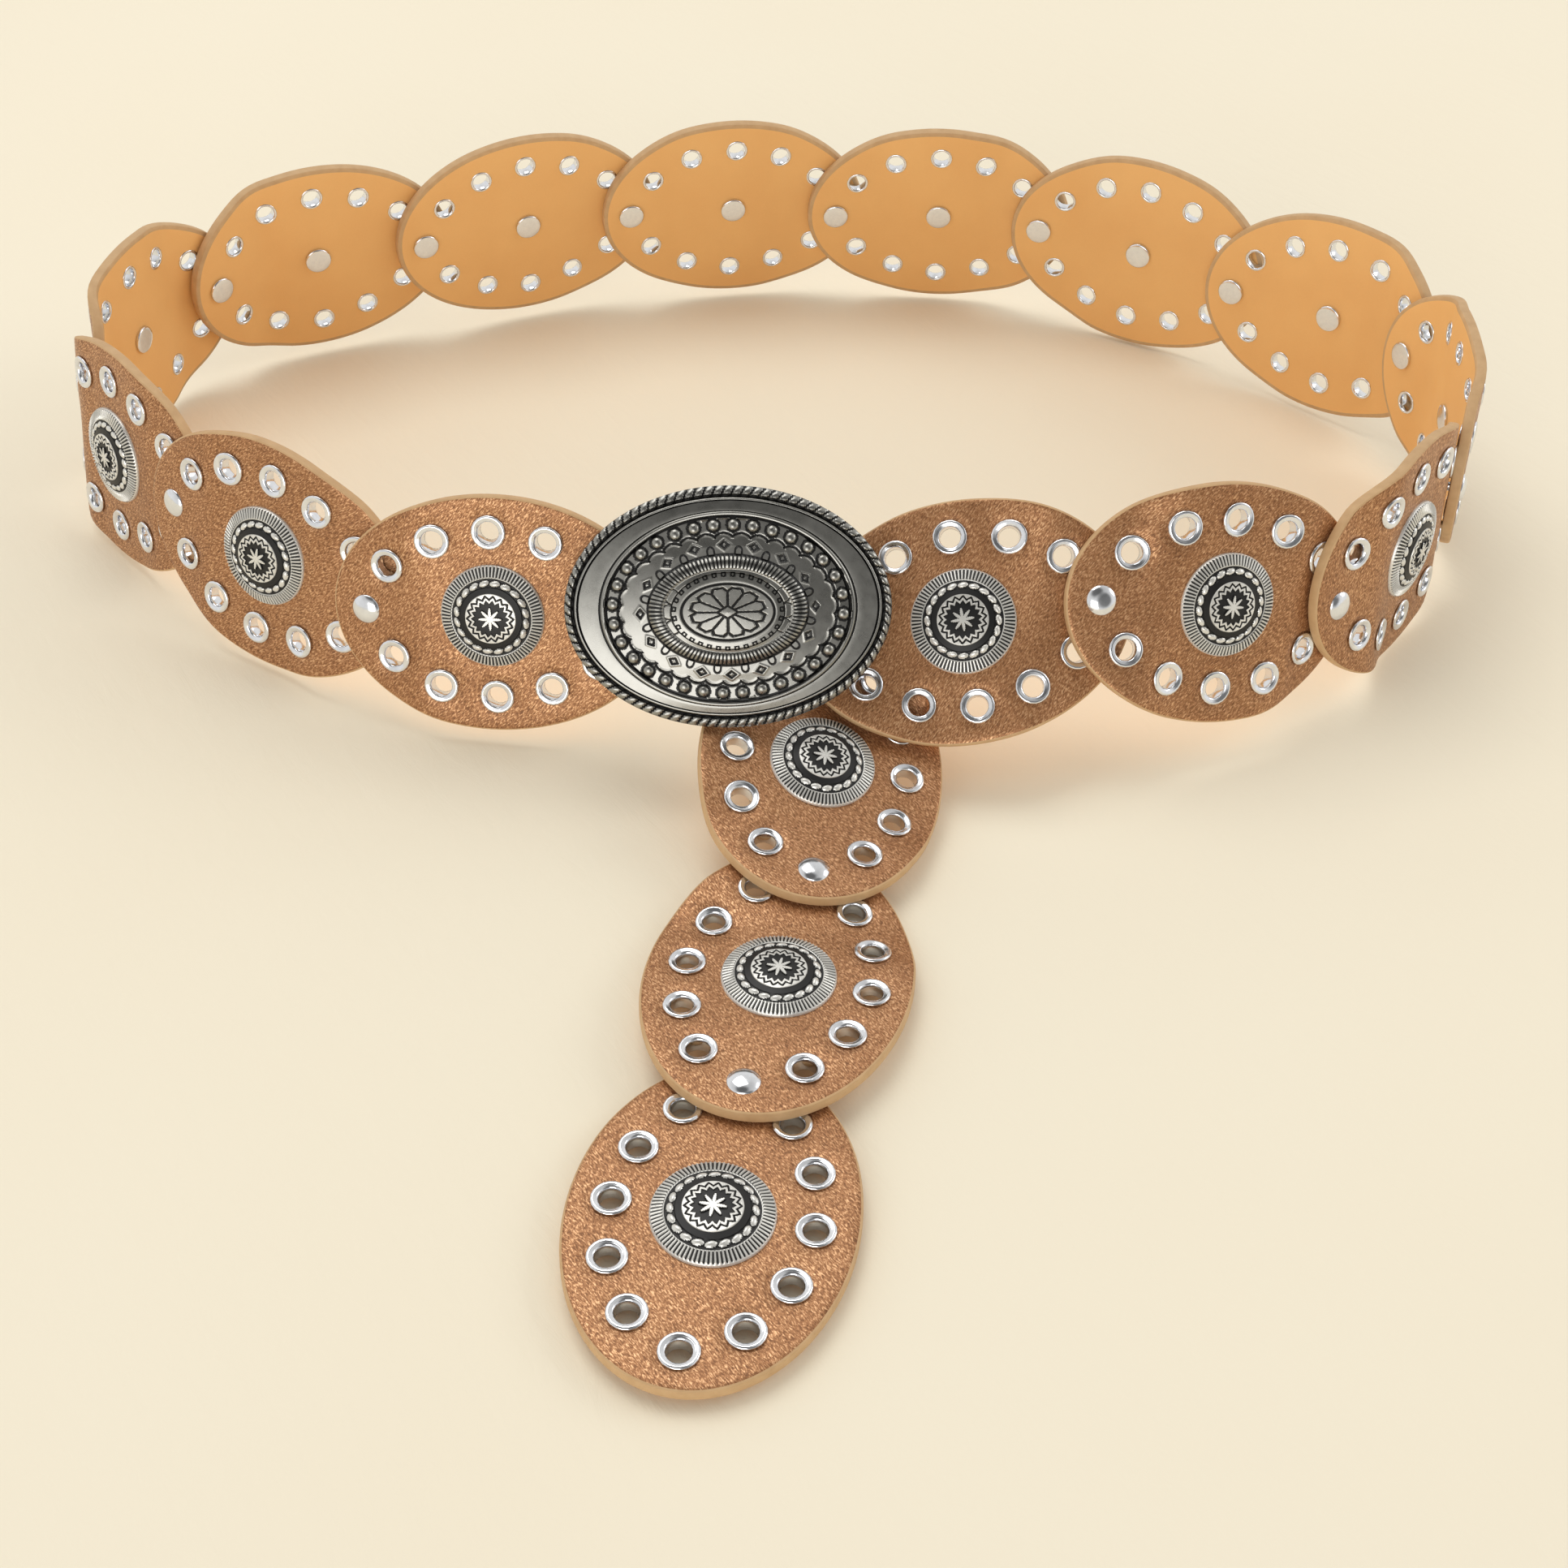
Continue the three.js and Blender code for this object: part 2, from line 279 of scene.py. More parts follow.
class Finish:
    """A material, or the room round the belt, whose nodes are added one call at a time."""

    def __init__(self, name, owner=None):
        self.material = owner or bpy.data.materials.new(name)
        self.material.use_nodes = True
        self.tree = self.material.node_tree
        self.tree.nodes.clear()

    def node(self, kind, settings=None, sockets=None, output=0):
        """Adds one node, with its settings first and then a value or a link for each socket."""
        node = self.tree.nodes.new(kind)
        for setting, value in (settings or {}).items():
            if setting == "stops":
                self.set_stops(node.color_ramp, value)
            else:
                setattr(node, setting, value)
        for socket, value in (sockets or {}).items():
            if isinstance(value, Value):
                self.tree.links.new(value.socket, node.inputs[socket])
            else:
                node.inputs[socket].default_value = value
        return Value(self, node.outputs[output]) if node.outputs else None

    @staticmethod
    def set_stops(ramp, stops):
        while len(ramp.elements) < len(stops):
            ramp.elements.new(1)
        for element, (position, colour) in zip(ramp.elements, stops):
            element.position = position
            element.color = colour

    def mix(self, share, first, second):
        """Goes from the first colour to the second as share goes from 0 to 1."""
        sockets = {0: share, 6: first, 7: second}
        return self.node("ShaderNodeMix", {"data_type": "RGBA"}, sockets, output=2)

    def ramp(self, value, *stops):
        return self.node("ShaderNodeValToRGB", {"stops": stops}, {0: value})

    def rise(self, value, low, high):
        """0 below low, 1 above high, and straight between them."""
        settings = {"clamp": True}
        return self.node("ShaderNodeMapRange", settings, {"Value": value, "From Min": low, "From Max": high})

    def stored(self, name, vector=False):
        """What make_piece stored with the points: a place on the flat piece, or one number."""
        return self.node("ShaderNodeAttribute", {"attribute_name": name}, output=1 if vector else 2)

    def object_place(self):
        """Where a point is on its own object, in metres."""
        return self.node("ShaderNodeTexCoord", output=3)

    def noise(self, where, scale, detail, roughness=0.5, distortion=0):
        sockets = {"Vector": where, "Scale": scale, "Detail": detail}
        sockets |= {"Roughness": roughness, "Distortion": distortion}
        return self.node("ShaderNodeTexNoise", None, sockets)

    def stretched(self, where, size, turn=0):
        """Coordinates turned about the piece's own normal and counted in steps of this size."""
        sockets = {"Vector": where, "Rotation": (0, 0, math.radians(turn)), "Scale": size}
        return self.node("ShaderNodeMapping", {"vector_type": "TEXTURE"}, sockets)

    def bump(self, height, distance, strength):
        """Bends the light as if the height, 0 to 1, rose by the distance, in metres."""
        sockets = {"Height": height, "Distance": distance, "Strength": strength}
        return self.node("ShaderNodeBump", None, sockets)

    def surface(self, **sockets):
        """Ends the finish in one surface shader, with its sockets named in words."""
        named = {socket.replace("_", " "): value for socket, value in sockets.items()}
        shader = self.node("ShaderNodeBsdfPrincipled", None, named)
        self.node("ShaderNodeOutputMaterial", None, {"Surface": shader})
        return self.material


def colour(red, green, blue):
    """A colour as a screen shows it, 0 to 255, turned into light."""
    shares = [part / 255 for part in (red, green, blue)]
    return tuple(s / 12.92 if s <= 0.04045 else ((s + 0.055) / 1.055) ** 2.4 for s in shares) + (1,)


# %% [markdown]
# The front of each disc is imitation leather with a bronze foil pressed into it. Its grain is short
# strokes that run slantwise, with bright foil on the crests and brown in the folds. One noise stretched
# along the strokes gives both the colour and the bump, so that light falls on the same crests
# that are painted bright. A broad, slow noise keeps large areas from looking even.

# %% Bronze foil leather
STROKE_SIZE = (0.3, 0.95, 0.5)
STROKE_TURN = -42


def bronze_leather():
    finish = Finish("bronze_leather")
    place = finish.stored("place", vector=True)
    slant = finish.stretched(place, STROKE_SIZE, turn=STROKE_TURN)
    strokes = finish.noise(slant, scale=1.0, detail=2, roughness=0.55, distortion=0.6)
    pores = finish.noise(place, scale=3.2, detail=2, roughness=0.6)
    cloud = finish.noise(place, scale=0.055, detail=3, roughness=0.55)
    grain = strokes * 0.82 + pores * 0.18
    tone = grain + (cloud - 0.5) * 0.12
    foil = finish.ramp(
        tone,
        (0.36, colour(124, 82, 51)),
        (0.46, colour(156, 107, 68)),
        (0.54, colour(180, 129, 87)),
        (0.64, colour(226, 180, 136)),
    )
    crest = finish.rise(grain, 0.5, 0.7)
    return finish.surface(
        Base_Color=foil,
        Metallic=crest * 0.3 + 0.42,
        Roughness=0.44 - crest * 0.14,
        Normal=finish.bump(grain, distance=0.00012, strength=0.6),
    )


# %% [markdown]
# The cut edge is sealed with tan paint and the back is smooth lining of a more orange tan. Both are
# dull, with faint mottling, and the lining changes slowly in tone, as if hands had rubbed it here and
# there. The edge's noise is pressed flat, so that it shows the thin layers of the board.

# %% Tan edge and lining
LAYER_SIZE = (3, 3, 0.35)


def edge_paint():
    finish = Finish("edge_paint")
    place = finish.stored("place", vector=True)
    mottle = finish.noise(place, scale=0.35, detail=3)
    paint = finish.mix(mottle, colour(186, 148, 104), colour(214, 178, 132))
    layers = finish.noise(finish.stretched(place, LAYER_SIZE), scale=1.0, detail=2)
    return finish.surface(
        Base_Color=paint,
        Roughness=0.62,
        Normal=finish.bump(layers, distance=0.0001, strength=0.4),
    )


def lining():
    finish = Finish("tan_lining")
    place = finish.stored("place", vector=True)
    cloud = finish.noise(place, scale=0.05, detail=3)
    fibres = finish.noise(place, scale=2.4, detail=3, roughness=0.6)
    shade = cloud * 0.7 + fibres * 0.3
    tan = finish.mix(shade, colour(231, 173, 104), colour(247, 196, 125))
    return finish.surface(
        Base_Color=tan,
        Roughness=0.58 + (fibres - 0.5) * 0.2,
        Normal=finish.bump(fibres, distance=0.00006, strength=0.4),
    )


# %% [markdown]
# Bright nickel covers the eyelets and rivets. Stamped metal is never a perfect mirror: its shine
# changes a little from place to place, and fine rubbing marks show as soft bumps. The conchos and
# the buckle are antique silver: black paint is wiped off the raised parts and stays in the
# recesses, which the stored recess says. Both are the same silver, but one function makes two copies
# of it from their colours and their share of metal: the conchos' copy is painted whiter and only half
# metal, a painted highlight that makes their ribs look bright, and the buckle's copy is painted darker,
# a painted shade that keeps its bands from glaring.

# %% Metals
def bright_nickel():
    finish = Finish("bright_nickel")
    rubbing = finish.noise(finish.object_place(), scale=900, detail=3)
    steel = finish.mix(rubbing, colour(218, 220, 225), colour(240, 242, 246))
    return finish.surface(
        Base_Color=steel,
        Metallic=1,
        Roughness=0.1 + rubbing * 0.1,
        Normal=finish.bump(rubbing, distance=0.00001, strength=0.12),
    )


def antique_silver(name, dull, bright, mirror):
    """Silver between a dull and a bright colour, black in the recesses; mirror is its share of metal."""
    finish = Finish(name)
    where = finish.object_place()
    recess = finish.stored("recess")
    wear = finish.noise(where, scale=260, detail=4, roughness=0.65)
    specks = finish.noise(where, scale=1500, detail=2)
    black = finish.rise(recess + (wear - 0.5) * 0.12, 0.18, 0.42)
    silver = finish.mix(wear, dull, bright)
    skin = finish.mix(black, silver, colour(13, 12, 12))
    return finish.surface(
        Base_Color=skin,
        Metallic=(1 - black * 0.85) * mirror,
        Roughness=0.22 + wear * 0.12 + black * 0.15,
        Normal=finish.bump(specks, distance=0.00002, strength=0.2),
    )


leather_finishes = [bronze_leather(), edge_paint(), lining()]
nickel = bright_nickel()
# Two copies of one silver: the buckle's is painted darker as painted shade, the conchos' is painted whiter
# and half metal as a painted highlight
buckle_silver_painted_shade = antique_silver("buckle_silver_painted_shade", colour(136, 135, 130), colour(172, 171, 166), mirror=1)
concho_silver_painted_highlight = antique_silver("concho_silver_painted_highlight", colour(212, 211, 206), colour(238, 237, 232), mirror=0.5)
print("finishes:", len(bpy.data.materials))

# %% [markdown]
# A disc is stamped out of soft board, so its cut edge is slightly rounded and its face dips where an
# eyelet squeezes it. The face is filled with triangles by a Delaunay triangulation, a method that
# joins scattered points with the plumpest triangles it can. Rings of points round each hole make
# the dips smooth, and even rows of points between them let the disc bend.

# %% Eyelet places and the outline
HOLE = 3.0
EYELET_ROW = {"along": [-26, -14, 0, 14, 26], "up": [11.7, 18.5, 21, 18.5, 11.7]}
EYELET_PLACES = [(along, side * up) for along, up in zip(*EYELET_ROW.values()) for side in (1, -1)]
END_EYELET = (-REACH, 0)
OUTLINE_STEPS = 120
FLAT_INSET = 1.3
EDGE_ROUNDING = {"inset": [0.5, 0.14, 0.0], "drop": [0.07, 0.3, 0.75]}


def oval(half_length, half_height, steps, centre=(0, 0)):
    """Points round an oval, from its right end upwards."""
    angles = np.arange(steps) * 2 * math.pi / steps
    x = centre[0] + np.cos(angles) * half_length
    y = centre[1] + np.sin(angles) * half_height
    return np.stack([x, y], axis=1)


def outline(inset):
    return oval(DISC_LENGTH / 2 - inset, DISC_HEIGHT / 2 - inset, OUTLINE_STEPS)


print("eyelets of one disc:", len(EYELET_PLACES))

# %% Points of one face
RING_RADII = [4.3, 5.2, 6.4]
RING_STEPS = 22
RING_CLEAR = 1
GRID_STEP = 2.1
ROW_SHARE = 0.866
LOOSE_INSET = 0.8
SAME_POINT = 1e-6


def within(points, inset):
    """Whether each point is inside the outline drawn in by the inset."""
    x = points[:, 0] / (DISC_LENGTH / 2 - inset)
    y = points[:, 1] / (DISC_HEIGHT / 2 - inset)
    return x ** 2 + y ** 2 < 1


def distance_to(points, places):
    """How far each point is from the nearest of the places."""
    gaps = np.linalg.norm(points[:, None, :] - np.asarray(places)[None], axis=2)
    return gaps.min(axis=1)


def face_points(holes):
    """The outline, then a hole's ring for each eyelet, then loose points that fill the face."""
    edge = outline(FLAT_INSET)
    rims = [oval(HOLE, HOLE, RING_STEPS, hole) for hole in holes]
    loose = [oval(radius, radius, RING_STEPS, hole) for hole in holes for radius in RING_RADII]
    across = np.arange(-DISC_HEIGHT / 2, DISC_HEIGHT / 2, GRID_STEP * ROW_SHARE)
    for row, y in enumerate(across):
        x = np.arange(-DISC_LENGTH / 2, DISC_LENGTH / 2, GRID_STEP) + row % 2 * GRID_STEP / 2
        line = np.stack([x, 0 * x + y], axis=1)
        loose.append(line[distance_to(line, holes) > RING_RADII[-1] + RING_CLEAR])
    loose = np.concatenate(loose)
    return edge, rims, loose[within(loose, FLAT_INSET + LOOSE_INSET)]


def triangulated(points, holes):
    """Triangles that fill the outline, without those over a hole."""
    triangles = delaunay_2d_cdt([Vector(p) for p in points], [], [], 0, SAME_POINT)[2]
    middles = np.array([np.mean(points[list(t)], axis=0) for t in triangles])
    kept = distance_to(middles, holes) > HOLE * math.cos(math.pi / RING_STEPS)
    return np.array([t for t, keep in zip(triangles, kept) if keep])


# %% [markdown]
# The face isn't a plane. Leather sinks where a lip presses into it, swells a little round that, and has
# a slow unevenness that catches the light. These heights are a few tenths of a millimetre and are
# added to the flat points, so the reflections break up the way they do on a real disc.

# %% Relief of the leather's face
LIP = 4.35
CONCHO_RADIUS = 12.75
WAVE = {"height": 0.07, "first": (0.21, 0.13), "second": (-0.09, 0.17)}


def soft_ridge(distance, height, width, middle=0):
    """A smooth ridge, or a dip if its height is negative, where the distance is the middle."""
    return height * np.exp(-((distance - middle) / width) ** 2)


def face_relief(points, holes):
    """How high each point stands over the flat face."""
    from_lip = distance_to(points, holes) - LIP
    from_concho = np.linalg.norm(points, axis=1) - CONCHO_RADIUS
    dip = soft_ridge(from_lip, height=-0.26, width=0.8)
    swell = soft_ridge(from_lip, height=0.1, width=0.9, middle=1.9)
    seat = soft_ridge(from_concho, height=-0.12, width=1.0)
    waves = WAVE["height"] * np.sin(points @ WAVE["first"]) * np.cos(points @ WAVE["second"])
    return dip + swell + seat + waves


# %% Build the flat leather
# Where each finish is in leather_finishes
FINISH = {"foil": 0, "paint": 1, "lining": 2}


def strip(first, second):
    """Quads from one closed loop of points to another."""
    return np.stack([second, np.roll(second, -1), np.roll(first, -1), first], axis=1)


def rounded_edge():
    """Loops round the cut edge, from the front over to the back."""
    steps = zip(EDGE_ROUNDING["inset"], EDGE_ROUNDING["drop"])
    front = [np.column_stack([outline(inset), np.full(OUTLINE_STEPS, FRONT - drop)]) for inset, drop in steps]
    return front + [loop * [1, 1, -1] for loop in reversed(front)]


def flat_leather(holes):
    """Points and faces of a disc with these holes, and the finish that each face takes."""
    edge, rims, loose = face_points(holes)
    flat = np.concatenate([edge, *rims, loose])
    triangles = triangulated(flat, holes)
    count = len(flat)
    front = np.column_stack([flat, FRONT + face_relief(flat, holes)])
    front[:OUTLINE_STEPS, 2] = FRONT
    back = np.column_stack([flat, np.full(count, BACK)])
    rounding = rounded_edge()
    points = np.concatenate([front, back, *rounding])

    border = np.arange(OUTLINE_STEPS)
    loops = [border, *(2 * count + i * OUTLINE_STEPS + border for i in range(len(rounding))), count + border]
    bands = [strip(first, second) for first, second in zip(loops, loops[1:])]
    tops = [OUTLINE_STEPS + hole * RING_STEPS + np.arange(RING_STEPS) for hole in range(len(holes))]
    walls = [strip(top + count, top) for top in tops]
    groups = [
        ("foil", triangles), ("lining", triangles[:, ::-1] + count), ("foil", bands[0]),
        ("paint", np.concatenate([*bands[1:], *walls])),
    ]
    faces = [face for _, group in groups for face in group.tolist()]
    finish_of_face = [FINISH[name] for name, group in groups for _ in group]
    return points, faces, finish_of_face


plain_leather = flat_leather(EYELET_PLACES)
last_leather = flat_leather(EYELET_PLACES + [END_EYELET])
print("one disc:", len(plain_leather[0]), "points,", len(plain_leather[1]), "faces")

# %% Carry the leather to its seventeen places, each with its own stretch of grain
OWN_GRAIN = 40.0

for i, disc in enumerate(discs):
    points, faces, parts = last_leather if i == len(discs) - 1 else plain_leather
    place = points + [0, 0, OWN_GRAIN * i]
    leather = make_piece(f"leather_{i + 1:02d}", disc.carry(points), faces, leather_finishes,
                         SHARP["leather"], finish_of_face=parts, place=place)
    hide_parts(f"disc_{i + 1:02d}")

# %% [markdown]
# An eyelet is a tube of thin brass whose ends are rolled over the leather. It is a turned shape, so a
# short list of radius and height, followed once round the hole, is all that it needs. The front roll
# is broad and domed, with a shallow dark step where it dives into the hole. The back roll is small.

# %% Turned shapes
def raised(profile, base):
    """The radius and height of each point of a profile whose heights are counted from base."""
    return [(radius, base + height) for radius, height in zip(profile["radius"], profile["height"])]


def lathe(profile, steps, place=(0, 0)):
    """Closed loops of points round a place on the flat disc, one loop for each radius and height."""
    circle = oval(1, 1, steps)
    loops = [np.column_stack([circle * radius + place, np.full(steps, height)]) for radius, height in profile]
    return np.concatenate(loops)


# Round the front roll from the leather inwards, down the tube, and round the back roll
EYELET_PROFILE = {
    "radius": [3.0, 4.2, 4.34, 4.26, 4.0, 3.7, 3.42, 3.18, 2.92, 2.72, 2.58, 2.52,
               2.52, 2.64, 2.92, 3.22, 3.34, 3.3, 2.9],
    "height": [-0.2, -0.12, 0.1, 0.38, 0.58, 0.61, 0.5, 0.42, 0.36, 0.18, -0.2, -0.8,
               -2.9, -3.18, -3.3, -3.24, -3.1, -2.95, -2.9],
}
EYELET_STEPS = 20

# %% Build and place the eyelets
def eyelet_rings(places):
    """One disc's eyelets: each is a profile that closes on itself, followed round its hole."""
    profile = raised(EYELET_PROFILE, FRONT)
    points = np.concatenate([lathe(profile, EYELET_STEPS, place) for place in places])
    size = len(profile) * EYELET_STEPS
    rows = np.arange(size).reshape(len(profile), EYELET_STEPS)
    after = np.roll(rows, -1, axis=0)
    corners = [rows, after, np.roll(after, -1, axis=1), np.roll(rows, -1, axis=1)]
    one = np.stack(corners, axis=-1).reshape(-1, 4)
    return points, np.concatenate([one + i * size for i in range(len(places))])


for i, disc in enumerate(discs):
    places = EYELET_PLACES + ([END_EYELET] if i == len(discs) - 1 else [])
    points, faces = eyelet_rings(places)
    make_piece(f"eyelets_{i + 1:02d}", disc.carry(points), faces[:, ::-1], [nickel],
               SHARP["eyelet"])
print("eyelets:", len(discs) * len(EYELET_PLACES) + 1)

# %% [markdown]
# A rivet holds two leathers. In front it has a low polished dome, and behind a flat cap with a rounded
# edge. Each concho's screw ends in such a flat cap too, so one list serves both.

# %% Rivets and the studs behind the conchos
CAP_PROFILE = {
    "radius": [0.01, 0.8, 1.7, 2.5, 3.1, 3.5, 3.72, 3.75, 3.6],
    "height": [1.32, 1.3, 1.2, 0.98, 0.68, 0.4, 0.18, 0.02, -0.1],
}
BACK_PROFILE = {
    "radius": [3.7, 3.9, 3.9, 3.78, 3.5, 2.6, 0.01],
    "height": [0.1, -0.12, -0.62, -0.82, -0.93, -0.98, -1.0],
}
SHAFT_RADIUS = 1.3
SHAFT_SINK = 0.1
CAP_STEPS = 32


def turned_piece(name, profile, disc, along):
    """A turned nickel piece that stands on a disc at one place along its middle."""
    points = lathe(profile, CAP_STEPS)
    points[:, 0] += along
    faces = grid_faces(len(profile), CAP_STEPS)
    return make_piece(name, disc.carry(points), faces[:, ::-1], [nickel], SHARP["turned"])


for i in range(1, len(discs)):
    stack = FRONT + LEATHER + seam_gap(i)
    shaft = [(SHAFT_RADIUS, stack - SHAFT_SINK), (SHAFT_RADIUS, BACK + SHAFT_SINK)]
    profile = raised(CAP_PROFILE, stack) + shaft + raised(BACK_PROFILE, BACK)
    rivet = turned_piece(f"rivet_set_{i:02d}", profile, discs[i], REACH)
    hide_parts(f"rivet_{i:02d}")

for i, disc in enumerate(discs):
    profile = [(SHAFT_RADIUS, FRONT)] + raised(BACK_PROFILE, BACK)
    stud = turned_piece(f"concho_stud_{i + 1:02d}", profile, disc, 0)
    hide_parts(f"concho_{i + 1:02d}")
print("rivets:", len(discs) - 1, "studs:", len(discs))

# %% [markdown]
# A concho is cast with fine relief: a ring of ribs round the rim, a ring of slanted beads, a black
# enamel band, a zigzag wreath and a small star. Such relief is a height over a round plate, so it is
# worked out from the distance and the angle of each point. Where a groove is cut, the same sum
# marks a recess, and the finish blackens it. Drawing every rib by hand would take thousands of steps.

# %% Concho: the plate's slope and its rows of points, out from the middle as shares of the radius
CONCHO_SLOPE = {
    "out": [0, 0.22, 0.30, 0.48, 0.64, 0.76, 0.8, 1.0],
    "height": [2.95, 2.92, 2.85, 2.6, 2.1, 1.65, 1.5, 0.65],
}
RIBS = 84
CONCHO_COLUMNS = RIBS * 4
STAR_ROWS = [0.002, 0.06, 0.1, 0.14, 0.18, 0.215, 0.24, 0.275]
WREATH_ROWS = np.linspace(0.288, 0.5, 18)
BEAD_ROWS = [0.512, 0.6, 0.612, 0.628, 0.646, 0.664, 0.682, 0.7, 0.718, 0.734, 0.75, 0.765]
RIB_ROWS = [0.785, 0.8, 0.88, 0.985, 1.0]
CONCHO_ROWS = [*STAR_ROWS, *WREATH_ROWS, *BEAD_ROWS, *RIB_ROWS]


def triangle_wave(turns):
    """Goes up and down between -1 and 1 once for each whole turn."""
    return np.abs((turns % 1) * 4 - 2) - 1


def band(value, low, high, soft=0.006):
    """1 between low and high, with soft borders."""
    return np.clip((value - low) / soft + 0.5, 0, 1) * np.clip((high - value) / soft + 0.5, 0, 1)


def round_bar(value, middle, half_width):
    """The height of a round bar that lies along the middle, as a share of its radius."""
    return np.sqrt(np.clip(1 - ((value - middle) / half_width) ** 2, 0, 1))


# %% Concho: the ribs and the beads
# How high each part stands over the plate, in millimetres
CONCHO_HEIGHTS = {"rib": 0.42, "bead": 0.6, "trough": -0.25, "wreath": 0.3, "star": 0.45}
RIB_SHADE = 0.46
BEADS = 20
BEAD = {"middle": 0.682, "half_width": 0.058, "half_turn": 0.97, "slant": 0.25, "shadow": 0.04}


def rib_ring(out, turns):
    """Ribs round the rim, with grooves between them that are only half black."""
    rim = band(out, low=0.79, high=0.992)
    ribs = rim * (turns * RIBS % 1 < 0.5)
    return CONCHO_HEIGHTS["rib"] * ribs, RIB_SHADE * (rim - ribs)


def bead_ring(out, turns):
    """Slanted beads in a black trough."""
    turn = (turns * BEADS % 1) * 2 - 1
    across = (out - BEAD["middle"]) / BEAD["half_width"] + turn * BEAD["slant"]
    inside = 1 - (turn / BEAD["half_turn"]) ** 2 - across ** 2
    ball = np.sqrt(np.clip(inside, 0, 1))
    trough = band(out, low=0.608, high=0.766)
    height = CONCHO_HEIGHTS["bead"] * ball + CONCHO_HEIGHTS["trough"]
    return height * trough, trough * (inside < BEAD["shadow"])


# %% Concho: the enamel, the wreath and the star
FIELD_END = 0.5
ZIGZAGS = 18
ZIGZAG_SWING = 0.036
PETALS = 8
STAR_HEART = 0.07
STAR_TIP = 0.232


def star_shape(out, turns):
    """Whether a point is on the star of narrow petals in the middle."""
    turn = ((turns * PETALS + 0.5) % 1 - 0.5) / PETALS * 2 * math.pi
    half_width = 0.032 * round_bar(out, middle=0.1, half_width=0.132)
    petal = (np.abs(turn) * out < half_width) | (out < STAR_HEART)
    return petal & (out < STAR_TIP)


def wreath_and_star(out, turns):
    """The wreath, cut along its middle, and the star, both raised from black enamel."""
    zigzag = ZIGZAG_SWING * triangle_wave(turns * ZIGZAGS)
    wreath = band(out, low=0.335 + zigzag, high=0.492)
    cut = band(out, low=0.398 + zigzag, high=0.438 + zigzag) * wreath
    star = star_shape(out, turns)
    field = band(out, low=-1, high=FIELD_END) * (1 - wreath) * ~star
    enamel = band(out, low=FIELD_END, high=0.612)
    height = CONCHO_HEIGHTS["wreath"] * (wreath - cut) + CONCHO_HEIGHTS["star"] * star
    return height, np.max([enamel, cut, field], axis=0)


def piled(slope, parts):
    """The slope with every part's height on it, and the deepest recess that any part makes."""
    return slope + sum(height for height, _ in parts), np.max([recess for _, recess in parts], axis=0)


# %% Build one concho and set it on every disc
CONCHO_SKIRT = {"share": [1.012, 1.012, 0.0506], "height": [FRONT + 0.45, FRONT - 0.1, FRONT - 0.1]}


def closing_loops(rim, table):
    """Copies of the rim, each drawn in to a share of its size and set at its own height."""
    loops = []
    for share, height in zip(table["share"], table["height"]):
        loop = rim.copy()
        loop[:, :2] *= share
        loop[:, 2] = height
        loops.append(loop)
    return loops


def build_concho():
    columns = (np.arange(CONCHO_COLUMNS) + 0.25) / CONCHO_COLUMNS
    out, turns = (part.ravel() for part in np.meshgrid(CONCHO_ROWS, columns, indexing="ij"))
    slope = np.interp(out, CONCHO_SLOPE["out"], CONCHO_SLOPE["height"])
    parts = [rib_ring(out, turns), bead_ring(out, turns), wreath_and_star(out, turns)]
    height, recess = piled(slope, parts)
    x = out * CONCHO_RADIUS * np.cos(turns * 2 * math.pi)
    y = out * CONCHO_RADIUS * np.sin(turns * 2 * math.pi)
    top = np.column_stack([x, y, FRONT + height])
    skirt = closing_loops(top[-CONCHO_COLUMNS:], CONCHO_SKIRT)
    points = np.concatenate([top, *skirt])
    recess = np.append(recess, np.zeros(len(points) - len(top)))
    return points, grid_faces(len(CONCHO_ROWS) + len(skirt), CONCHO_COLUMNS), recess


concho_points, concho_faces, concho_recess = build_concho()
for i, disc in enumerate(discs):
    carried = disc.centre + concho_points @ disc.rotation.T
    concho = make_piece(f"concho_cast_{i + 1:02d}", carried, concho_faces, [concho_silver_painted_highlight],
                        SHARP["cast"], recess=concho_recess)
    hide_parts(f"concho_{i + 1:02d}")
print("one concho:", len(concho_points), "points")

# %% [markdown]
# The buckle is a shallow oval dome with rings of ornament. Its ovals aren't one shape made smaller: the
# inner ones are flatter, as they are on the casting, so each ring's height follows from its length by a
# short table. Ribs, beads and cords are spaced by the length of their own oval, not by angle, or they
# would crowd at the ends. Again one sum gives the height and the recess of every point.

# %% Buckle: its ovals and where it stands
BUCKLE_HALF = 39.0
BUCKLE_OVALS = {
    "half_length": [0, 11.0, 12.8, 15.7, 19.0, 20.8, 25.9, 27.5, 29.0, 29.9, 35.9, 37.5, 39],
    "half_height": [0, 6.55, 8.75, 10.15, 13.0, 15.35, 17.9, 19.9, 21.95, 22.9, 25.3, 26.75, 28.75],
}
BUCKLE_PLACE = {"heading": 1, "lean": 36, "roll": 2}
STUD_ON_BUCKLE = (-25.4, -2.7, -10.4)
BUCKLE_COLUMNS = 636
FINE_STEPS = 20000
OVAL_STEPS = 2000
OVAL_SHARES = np.arange(OVAL_STEPS + 1) / OVAL_STEPS


def half_height_of(half_length):
    """The half height of the ornament's oval that has this half length."""
    return np.interp(half_length, BUCKLE_OVALS["half_length"], BUCKLE_OVALS["half_height"])


def even_angles(half_length, steps):
    """Angles of points that are equally far apart along an oval."""
    angles = np.linspace(0, 2 * math.pi, FINE_STEPS + 1)
    speed = np.hypot(half_length * np.sin(angles), half_height_of(half_length) * np.cos(angles))
    along = np.concatenate([[0], np.cumsum((speed[1:] + speed[:-1]) / 2)])
    return np.interp(np.arange(steps) / steps * along[-1], along, angles)


